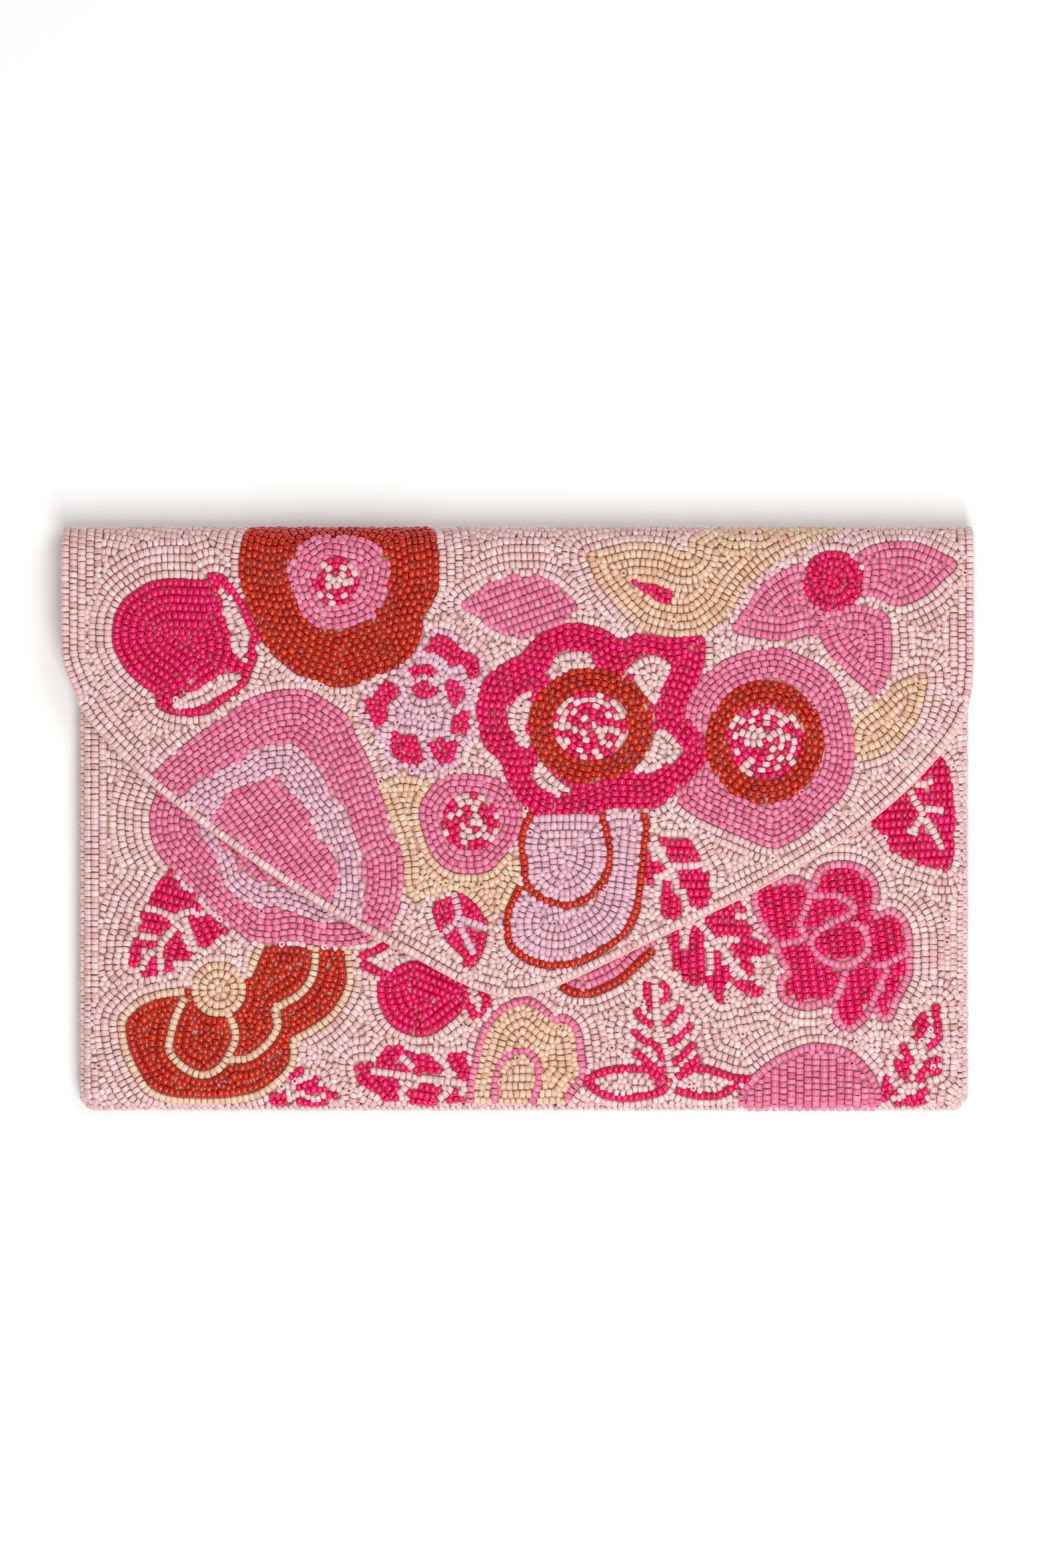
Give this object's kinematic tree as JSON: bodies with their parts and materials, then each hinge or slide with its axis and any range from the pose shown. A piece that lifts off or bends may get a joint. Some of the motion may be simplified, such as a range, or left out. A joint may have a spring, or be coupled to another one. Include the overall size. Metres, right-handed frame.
{
  "type": "clutch purse",
  "caption": "Flat beaded envelope clutch with a curved fold-over flap, lined pocket and hidden magnetic snap.",
  "frame": {"origin": "on the surface the purse lies on, under the middle of its bounding box, flap closed", "axes": "+X along the width to the viewer's right when facing the flap, +Y up the purse from its bottom edge to the fold, +Z out of the front through the flap"},
  "size_m": [0.245, 0.1576, 0.0166],
  "materials": {
    "beads_blush": "opaque pearl blush seed beads",
    "beads_hot_pink": "opaque gloss hot pink seed beads",
    "beads_rust": "opaque gloss rust seed beads",
    "beads_mid_pink": "opaque gloss mid pink seed beads",
    "beads_lilac": "opaque gloss lilac seed beads",
    "beads_cream": "opaque cream seed beads",
    "beads_ivory": "opaque ivory seed beads",
    "canvas": "satin-faced woven backing cloth, pinkish beige",
    "lining": "peach satin lining",
    "board": "bag stiffener board",
    "snap_metal": "thin pale gold plating",
    "magnet": "sintered ferrite",
    "thread": "beading thread"
  },
  "bodies": {
    "body": {"back_beadwork": "beads_blush", "back_canvas": "canvas", "back_board": "board", "back_lining": "lining", "front_beadwork": "beads_blush", "front_canvas": "canvas", "front_board": "board", "front_lining": "lining", "front_left_edge_beads": "beads_blush", "back_left_edge_beads": "beads_blush", "front_right_edge_beads": "beads_blush", "back_right_edge_beads": "beads_blush", "front_bottom_edge_beads": "beads_blush", "back_bottom_edge_beads": "beads_blush", "snap_socket_plate": "snap_metal", "snap_socket_washer": "snap_metal", "snap_socket_cap": "snap_metal", "snap_ring_magnet": "magnet"},
    "fold_back": {"fold_back_beadwork": "beads_blush", "fold_back_canvas": "canvas", "fold_back_lining": "lining"},
    "fold_top": {"fold_top_beadwork": "beads_blush", "fold_top_canvas": "canvas", "fold_top_lining": "lining"},
    "fold_front": {"fold_front_beadwork": "beads_blush", "fold_front_canvas": "canvas", "fold_front_lining": "lining"},
    "flap": {"flap_beadwork": "beads_blush", "flap_canvas": "canvas", "flap_board": "board", "flap_lining": "lining", "snap_stud": "snap_metal", "snap_stud_plate": "snap_metal", "snap_stud_washer": "snap_metal"}
  },
  "joints": [
    {"name": "fold_hinge_back", "type": "hinge", "parent": "body", "child": "fold_back", "pos_m": [0, 0.07308, 0.00208], "axis": [-1, 0, 0], "range_deg": [0, 45]},
    {"name": "fold_hinge_top", "type": "hinge", "parent": "fold_back", "child": "fold_top", "pos_m": [0, 0.07673, 0.00572], "axis": [-1, 0, 0], "range_deg": [0, 45]},
    {"name": "fold_hinge_front", "type": "hinge", "parent": "fold_top", "child": "fold_front", "pos_m": [0, 0.07673, 0.01088], "axis": [-1, 0, 0], "range_deg": [0, 45]},
    {"name": "flap_hinge", "type": "hinge", "parent": "fold_front", "child": "flap", "pos_m": [0, 0.07308, 0.01452], "axis": [-1, 0, 0], "range_deg": [0, 45]}
  ]
}
